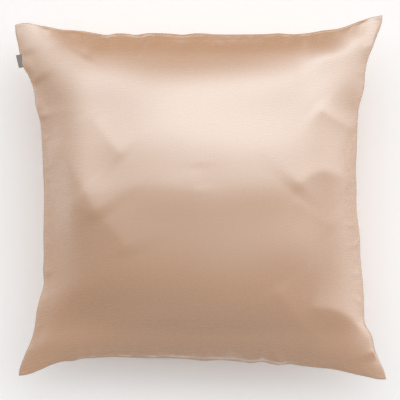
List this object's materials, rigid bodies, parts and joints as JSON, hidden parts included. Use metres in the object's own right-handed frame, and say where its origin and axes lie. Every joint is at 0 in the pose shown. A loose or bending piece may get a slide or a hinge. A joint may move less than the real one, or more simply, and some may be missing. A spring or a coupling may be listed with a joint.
{
  "type": "filled square pillowcase",
  "caption": "Square satin pillowcase on its filling, with a crowned front, drawn-in sides, pulled-out corners and a small folded label in one side seam.",
  "frame": {"origin": "middle of the case's bounding box, on the surface that its back rests on", "axes": "+Z out of the front panel, +Y towards the top seam, +X to the right as the front is seen"},
  "size_m": [0.4963, 0.4852, 0.1689],
  "materials": {
    "satin": "glossy champagne satin weave",
    "tape": "matt grey woven tape"
  },
  "bodies": {
    "root": {"filled_case": "satin", "side_label": "tape"}
  },
  "joints": []
}
